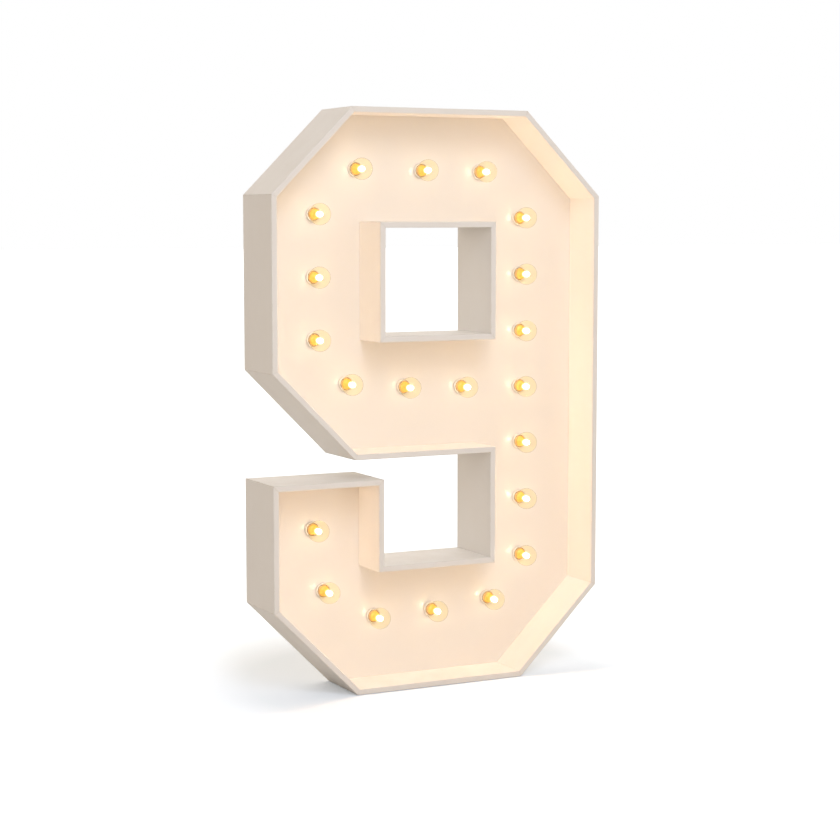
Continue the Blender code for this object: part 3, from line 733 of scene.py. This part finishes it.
# %% Mount and filaments
MOUNT_PROFILE = (
    (0, 4.6),
    (12.2, 4.6),
    (12.3, 6.0),
    (11.4, 7.0),
    (11.1, 9.8),
    (9.8, 12.0),
    (6.2, 14.0),
    (3.4, 18.0),
    (2.2, 24.0),
    (1.5, 27.0),
    (1.5, 29.4),
    (0, 30.0),
)
FLARE_RADIUS = 11.1
mount = mesh_of("lamp_mount", lathe(eased(MOUNT_PROFILE, 0.8)), mount_amber_painted_glow)
mount.materials.append(flare_brown_painted_glow)
for face in mount.polygons:
    if face.center.xy.length > FLARE_RADIUS * MM:
        face.material_index = 1

FILAMENTS = 4
FILAMENT_RADIUS = 1.0
FILAMENT_FOOT = 27.5
FILAMENT_TOP = 40.0
FOOT_SPREAD = 2.0
TOP_SPREAD = 3.4
FILAMENT_STEPS = 12
FILAMENT_PROFILE = (
    (0, FILAMENT_FOOT),
    (FILAMENT_RADIUS, FILAMENT_FOOT),
    (FILAMENT_RADIUS, FILAMENT_TOP),
    (0, FILAMENT_TOP),
)
filament_shape = bmesh.new()
for turn in range(FILAMENTS):
    stick = lathe(eased(FILAMENT_PROFILE, 0.5), FILAMENT_STEPS)
    for vertex in stick.verts:
        rise = (vertex.co.z / MM - FILAMENT_FOOT) / (FILAMENT_TOP - FILAMENT_FOOT)
        vertex.co.x += (FOOT_SPREAD + (TOP_SPREAD - FOOT_SPREAD) * rise) * MM
    angle = math.tau * (turn + 0.5) / FILAMENTS
    bmesh.ops.rotate(stick, verts=stick.verts, cent=(0, 0, 0), matrix=Matrix.Rotation(angle, 3, "Z"))
    stick_mesh = bpy.data.meshes.new("stick")
    stick.to_mesh(stick_mesh)
    stick.free()
    filament_shape.from_mesh(stick_mesh)
    bpy.data.meshes.remove(stick_mesh)
filament = mesh_of("lamp_filament", filament_shape, filament_glow)
print("mount of", len(mount.polygons), "and filaments of", len(filament.polygons), "faces")

# %% [markdown]
# ## Placing the lamps, and their light
#
# The six pieces of each lamp go to its seat. The glass throws no shadow in the render, so that the light
# inside it gets out without the noise of caustics, and diffuse rays don't meet it either, or that light
# would count twice.
#
# Filaments alone would be too small to look as blown out as they do in the photograph. So four round
# sources in each lamp are seen: its white core, a tail towards the neck, and a halo and a haze round
# them. Three more aren't seen by the camera. One shows only in gloss and gives the glint on the face. One
# lights the face and the walls. It fades with the distance instead of its square, as light that is
# scattered to and fro in the case does. The last is weak, almost neutral and close to the face, and keeps
# the walls from going orange. The lamp at the end of the hook has no neighbours on three sides, and gives
# more of both.

# %% Lamps in their seats
for number, (name, seat) in enumerate(zip(lamp_names, lamp_seats), 1):
    matrix = Matrix.Translation(seat) @ TO_FRONT
    for label, mesh, slot in (
        ("lamp_envelope", envelope, "lamp_glass"),
        ("screw_cap", cap, "nickel_pin"),
        ("cap_insulator", insulator, "black_plastic"),
        ("cap_contact", contact, "zinc_steel"),
        ("lamp_mount", mount, "lamp_glass"),
        ("lamp_filament", filament, "lamp_glass"),
    ):
        made = place_piece(f"{label}_{number:02d}", mesh, matrix, [name])
        if slot == "lamp_glass":
            made.visible_shadow = False
        if label == "lamp_envelope":
            made.visible_diffuse = False
print(len(lamp_names), "lamps of six pieces each")


# %% The light of the lamps
CORE_COLOUR = (1.0, 0.90, 0.70)
SEEN_SOURCES = (  # name, height above the face and radius in millimetres, radiance
    ("core", 33.8, 6.4, 2.4),
    ("tail", 26.5, 5.0, 1.1),
    ("halo", 33.0, 8.0, 0.28),
    ("haze", 32.5, 10.2, 0.10),
)
SHINE_HEIGHT = 40.0
SHINE_RADIUS = 5.0
SHINE_RADIANCE = 80.0
CASE_SOURCES = (  # name, height and radius in millimetres, colour, strength
    ("spread", 30.0, 25.0, (1.0, 0.59, 0.31), 0.80),
    ("low", 10.0, 8.0, (0.85, 0.95, 1.0), 0.16),
)
CASE_SMOOTH = 0.012
HOOK_SHARE = 2.6
HOOK_END = Vector((-0.378, face_front, 0.4))


def lamp_light(name, seat, height, radius, colour, power):
    """A point light over a seat, with its height and the radius of its source in millimetres."""
    light = bpy.data.lights.new(name, "POINT")
    light.energy = power
    light.color = colour
    light.shadow_soft_size = radius * MM
    made = bpy.data.objects.new(name, light)
    made.location = seat + Vector((0, -height * MM, 0))
    scene.collection.objects.link(made)
    return made


def power_for(radiance, radius):
    """The power that makes a round source look as bright as a radiance."""
    return radiance * 4 * (math.pi * radius * MM) ** 2


hook_lamp = min(lamp_seats, key=lambda seat: (seat - HOOK_END).length)
for number, seat in enumerate(lamp_seats, 1):
    for part, height, radius, radiance in SEEN_SOURCES:
        power = power_for(radiance, radius)
        lamp_light(f"{part}_{number:02d}", seat, height, radius, CORE_COLOUR, power)
    power = power_for(SHINE_RADIANCE, SHINE_RADIUS)
    shine = lamp_light(f"shine_{number:02d}", seat, SHINE_HEIGHT, SHINE_RADIUS, CORE_COLOUR, power)
    shine.visible_camera = shine.visible_diffuse = False
    share = HOOK_SHARE if seat == hook_lamp else 1.0
    for part, height, radius, colour, strength in CASE_SOURCES:
        made = lamp_light(f"{part}_{number:02d}", seat, height, radius, colour, 1.0)
        made.visible_camera = made.visible_transmission = made.visible_glossy = False
        made.data.use_nodes = True
        tree = made.data.node_tree
        sockets = {"Strength": strength * share, "Smooth": CASE_SMOOTH}
        falloff = add(tree, "LightFalloff", sockets).outputs["Linear"]
        tree.links.new(falloff, tree.nodes["Emission"].inputs["Strength"])
print(len(SEEN_SOURCES) + 1 + len(CASE_SOURCES), "lights for each of", len(lamp_seats), "lamps")

# %% [markdown]
# ## Screws
#
# Pan head screws with a cross recess hold the rear panel and the inlet. The head and the shank are
# turned, and a tapered cross is cut from the head with a Boolean, which is how a punch makes it.


# %% Cross recess screws
HEAD_HEIGHT = 1.8  # of the solid's head
HEAD_TOP = 1.78  # of the turned head, which stays just inside it
CROSS_LENGTH = 3.4
CROSS_WIDTH = 0.75
CROSS_DEPTH = 1.0
CROSS_TAPER = (0.45, 0.7, 1)


def punch_cross(shape):
    """Cuts a tapered cross into the top of a turned screw and returns its mesh."""
    punch = bmesh.new()
    for angle in (0, 90):
        bar = bmesh.ops.create_cube(punch, size=1)["verts"]
        bmesh.ops.scale(punch, vec=(CROSS_LENGTH * MM, CROSS_WIDTH * MM, 2 * CROSS_DEPTH * MM), verts=bar)
        bmesh.ops.scale(punch, vec=CROSS_TAPER, verts=[vertex for vertex in bar if vertex.co.z < 0])
        turn = Matrix.Rotation(math.radians(angle), 3, "Z")
        bmesh.ops.rotate(punch, verts=bar, cent=(0, 0, 0), matrix=turn)
    bmesh.ops.translate(punch, verts=punch.verts, vec=(0, 0, HEAD_TOP * MM))
    work = []
    for name, part in (("screw_blank", shape), ("screw_punch", punch)):
        mesh = bpy.data.meshes.new(name)
        part.to_mesh(mesh)
        part.free()
        work.append(bpy.data.objects.new(name, mesh))
        scene.collection.objects.link(work[-1])
    cut = work[0].modifiers.new("cross", "BOOLEAN")
    cut.object = work[1]
    cut.solver = "EXACT"
    cut.use_self = True
    bpy.context.view_layer.update()
    seen = work[0].evaluated_get(bpy.context.evaluated_depsgraph_get())
    mesh = bpy.data.meshes.new_from_object(seen)
    for helper in work:
        bpy.data.objects.remove(helper)
    mesh.shade_smooth()
    mesh.set_sharp_from_angle(angle=SHARP_EDGE)
    mesh.materials.clear()
    mesh.materials.append(screw_zinc)
    return mesh


THREAD_ROOT = 1.05
THREAD_CREST = 1.38
THREAD_START = 2.2
THREAD_RISE = 0.5
PLAIN_LENGTH = 3


def screw_profile(length):
    """A pan head on a shank with thread ridges, in millimetres from under the head."""
    threads = []
    for ridge in range(int(length) - PLAIN_LENGTH):
        foot = -length + THREAD_START + ridge
        threads += [(THREAD_ROOT, foot), (THREAD_CREST, foot + THREAD_RISE)]
    return [
        (0, -length),
        (0.5, -length + 0.8),
        *threads,
        (1.1, -0.6),
        (1.3, 0.0),
        (2.9, 0.0),
        (3.0, 0.5),
        (2.7, 1.1),
        (1.9, 1.6),
        (0.0, HEAD_TOP),
    ]


SCREW_STEPS = 24
REAR_SCREW_LENGTH = 16.0
INLET_SCREW_LENGTH = 10.0
TURN_TO_NEXT = 1.1
rear_screw = punch_cross(lathe(screw_profile(REAR_SCREW_LENGTH), SCREW_STEPS))
inlet_screw = punch_cross(lathe(screw_profile(INLET_SCREW_LENGTH), SCREW_STEPS))
screw_turn = 0.0
for name in sorted(solids):
    if "_screw_" not in name:
        continue
    low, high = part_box(name)
    head = Vector(((low.x + high.x) / 2, high.y - HEAD_HEIGHT * MM, (low.z + high.z) / 2))
    screw_turn += TURN_TO_NEXT
    matrix = Matrix.Translation(head) @ TO_BACK @ Matrix.Rotation(screw_turn, 4, "Z")
    mesh = inlet_screw if name.startswith("inlet") else rear_screw
    place_piece("cross_" + name, mesh, matrix, [name])
print("screws of", len(rear_screw.polygons), "and", len(inlet_screw.polygons), "faces")

# %% [markdown]
# ## Inlet and switch
#
# The solid of the inlet housing has every edge sharp, as no moulding has. A copy is welded, its flat
# faces are joined, and its edges are bevelled by a quarter of a millimetre. The rocker gets the same, and
# the common marks for on and off, a bar and a ring, as a thin raised print.


# %% Softened copies of moulded solids
FLAT_ANGLE = math.radians(1)
CORNER_ANGLE = math.radians(30)


def softened(name, width, segments):
    """A welded copy of a solid, with its sharp edges bevelled by a width in millimetres."""
    shape = bmesh.new()
    shape.from_mesh(solids[name].data)
    bmesh.ops.remove_doubles(shape, verts=shape.verts, dist=WELD)
    bmesh.ops.dissolve_limit(shape, angle_limit=FLAT_ANGLE, verts=shape.verts, edges=shape.edges)
    sharp = [edge for edge in shape.edges if edge.is_manifold and edge.calc_face_angle() > CORNER_ANGLE]
    bmesh.ops.bevel(
        shape,
        geom=sharp,
        offset=width * MM,
        offset_type="OFFSET",
        segments=segments,
        profile=0.5,
        affect="EDGES",
        clamp_overlap=True,
        material=-1,
    )
    return shape


housing = mesh_of("inlet_housing", softened("inlet_housing", width=0.25, segments=2), inlet_black)
place_piece("inlet_moulding", housing, Matrix.Identity(4), ["inlet_housing"])
rocker = mesh_of("rocker", softened("switch_rocker", width=0.3, segments=3), rocker_black)
place_piece("rocker_moulding", rocker, Matrix.Identity(4), ["switch_rocker"], "rocker")
print("housing of", len(housing.polygons), "and rocker of", len(rocker.polygons), "faces")

# %% Marks on the rocker
MARK_HEIGHT = 0.12
RING_RADIUS = 1.9
RING_WIDTH = 0.6
BAR_HALF = 1.6
ROCKER_HALF = 0.0095
FACES_BACK = 0.8
RING_PROFILE = (
    (RING_RADIUS - RING_WIDTH, 0),
    (RING_RADIUS - RING_WIDTH, MARK_HEIGHT),
    (RING_RADIUS, MARK_HEIGHT),
    (RING_RADIUS, 0),
    (RING_RADIUS - RING_WIDTH, 0),
)
ring_mark = mesh_of("off_mark", lathe(RING_PROFILE), mark_white)
bar_shape = bmesh.new()
bmesh.ops.create_circle(bar_shape, cap_ends=True, radius=RING_WIDTH / 2 * MM, segments=16)
for vertex in bar_shape.verts:
    vertex.co.y += math.copysign(BAR_HALF * MM, vertex.co.y + WELD)
raised = bmesh.ops.extrude_face_region(bar_shape, geom=bar_shape.faces[:])["geom"]
top = [vertex for vertex in raised if isinstance(vertex, bmesh.types.BMVert)]
bmesh.ops.translate(bar_shape, verts=top, vec=(0, 0, MARK_HEIGHT * MM))
bmesh.ops.recalc_face_normals(bar_shape, faces=bar_shape.faces)
bar_mark = mesh_of("on_mark", bar_shape, mark_white)

rocker_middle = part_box("switch_rocker")[0].z + ROCKER_HALF
rocker_faces = {"pressed": [], "raised": []}
for face in solids["switch_rocker"].data.polygons:
    if face.normal.y > FACES_BACK:
        key = "pressed" if face.center.z > rocker_middle else "raised"
        rocker_faces[key].append((face.area, face.center.copy(), face.normal.copy()))
for key, mesh, name in (("pressed", bar_mark, "on_mark"), ("raised", ring_mark, "off_mark")):
    faces = rocker_faces[key]
    area = sum(face[0] for face in faces)
    middle = sum((face[0] * face[1] for face in faces), Vector()) / area
    normal = sum((face[0] * face[2] for face in faces), Vector()).normalized()
    across = Vector((1, 0, 0))
    up = normal.cross(across)
    turn = Matrix((across, up, normal)).transposed().to_4x4()
    matrix = Matrix.Translation(middle) @ turn
    place_piece("rocker_" + name, mesh, matrix, ["switch_rocker"], "rocker")
    print(name, "at", [round(value, 4) for value in middle])

# %% [markdown]
# ## Studio
#
# A pale floor that runs to the horizon and a plain white world. Both are white to the camera, to gloss
# and to glass, by the kind of ray, and light the object at a plain level. Near the number the floor keeps
# its shadow. The world is brighter to the right and behind, as in the photograph, where the left sides of
# the case are in soft shade but the walls inside its openings are lighter. Two soft lights stand in
# front, one high and one low.

# %% World
AMBIENT = 0.40
BESIDE = 1.3
BEHIND = 2.2
AMBIENT_COLOUR = (1.0, 0.852, 0.705, 1)
WHITE = (1, 1, 1, 1)


def seen_by_eye_or_gloss(tree, gloss_share=1.0):
    """One for camera and transmission rays, a share for glossy rays, and nought for diffuse ones."""
    ray = add(tree, "LightPath").outputs
    glossy = calculate(tree, "MULTIPLY", ray["Is Glossy Ray"], gloss_share)
    seen = calculate(tree, "MAXIMUM", ray["Is Camera Ray"], glossy)
    return calculate(tree, "MAXIMUM", seen, ray["Is Transmission Ray"])


world = bpy.data.worlds.new("studio")
scene.world = world
world.use_nodes = True
tree = world.node_tree
tree.nodes.clear()
direction = add(tree, "SeparateXYZ", {0: add(tree, "TexCoord").outputs["Generated"]}).outputs
strength = AMBIENT
for axis, extra in (("X", BESIDE), ("Y", BEHIND)):
    towards = calculate(tree, "POWER", calculate(tree, "MAXIMUM", direction[axis], 0.0), 2.0)
    strength = calculate(tree, "ADD", calculate(tree, "MULTIPLY", towards, extra), strength)
ambient = add(tree, "Background", {"Color": AMBIENT_COLOUR, "Strength": strength}).outputs[0]
white = add(tree, "Background", {"Color": WHITE, "Strength": 1.0}).outputs[0]
mixed = add(tree, "MixShader", {0: seen_by_eye_or_gloss(tree), 1: ambient, 2: white}).outputs[0]
add(tree, "OutputWorld", {"Surface": mixed})
print("world of strength", AMBIENT, "plus", BESIDE, "to the right and", BEHIND, "behind")

# %% Floor
FLOOR_SIZE = 60.0
FLOOR_DROP = 0.0005
BOUNCE_TONE = (0.60, 0.58, 0.55, 1)
SEEN_TONE = (0.78, 0.872, 0.99, 1)
LIFT_COLOUR = (0.92, 0.97, 1.0, 1)
SHADOW_REACH = 0.38
WHITE_FROM = 0.82
NEAR_LIFT = 0.16
FAR_LIFT = 0.74
GLOSS_LIFT = 0.35
floor_finish, tree, shader = start_finish("studio_floor", Roughness=0.9, Specular_IOR_Level=0.0)
tone = blend_colours(tree, seen_by_eye_or_gloss(tree), BOUNCE_TONE, SEEN_TONE)
tree.links.new(tone, shader.inputs["Base Color"])
shader.inputs["Emission Color"].default_value = LIFT_COLOUR
place = add(tree, "TexCoord").outputs["Object"]
far = add(tree, "VectorMath", {0: place}, operation="LENGTH").outputs["Value"]
lift = spread(tree, far, SHADOW_REACH, WHITE_FROM, NEAR_LIFT, FAR_LIFT)
glow = calculate(tree, "MULTIPLY", seen_by_eye_or_gloss(tree, GLOSS_LIFT), lift)
tree.links.new(glow, shader.inputs["Emission Strength"])
floor_shape = bmesh.new()
bmesh.ops.create_grid(floor_shape, x_segments=1, y_segments=1, size=FLOOR_SIZE)
floor_mesh = bpy.data.meshes.new("floor")
floor_shape.to_mesh(floor_mesh)
floor_shape.free()
floor_mesh.transform(Matrix.Translation((0, 0, -FLOOR_DROP)))
floor_mesh.materials.append(floor_finish)
floor = bpy.data.objects.new("floor", floor_mesh)
scene.collection.objects.link(floor)
print("floor of", 2 * FLOOR_SIZE, "m")

# %% Soft lights
SOFT_LIGHT_COLOUR = (0.92, 0.952, 1.036)
SOFT_LIGHT_SIZE = 1.8
SOFT_LIGHTS = (  # name, place, power
    ("high_soft_light", (-0.8, -3.6, 3.6), 61.0),
    ("low_soft_light", (-1.5, -4.4, 2.2), 33.0),
)
for name, place, power in SOFT_LIGHTS:
    soft = bpy.data.lights.new(name, "AREA")
    soft.energy = power
    soft.color = SOFT_LIGHT_COLOUR
    soft.size = SOFT_LIGHT_SIZE
    soft_light = bpy.data.objects.new(name, soft)
    soft_light.location = place
    soft_light.rotation_euler = (MIDDLE - soft_light.location).to_track_quat("-Z", "Y").to_euler()
    soft_light.visible_camera = False
    scene.collection.objects.link(soft_light)
    print(name, round((MIDDLE - soft_light.location).length, 2), "m from the number")
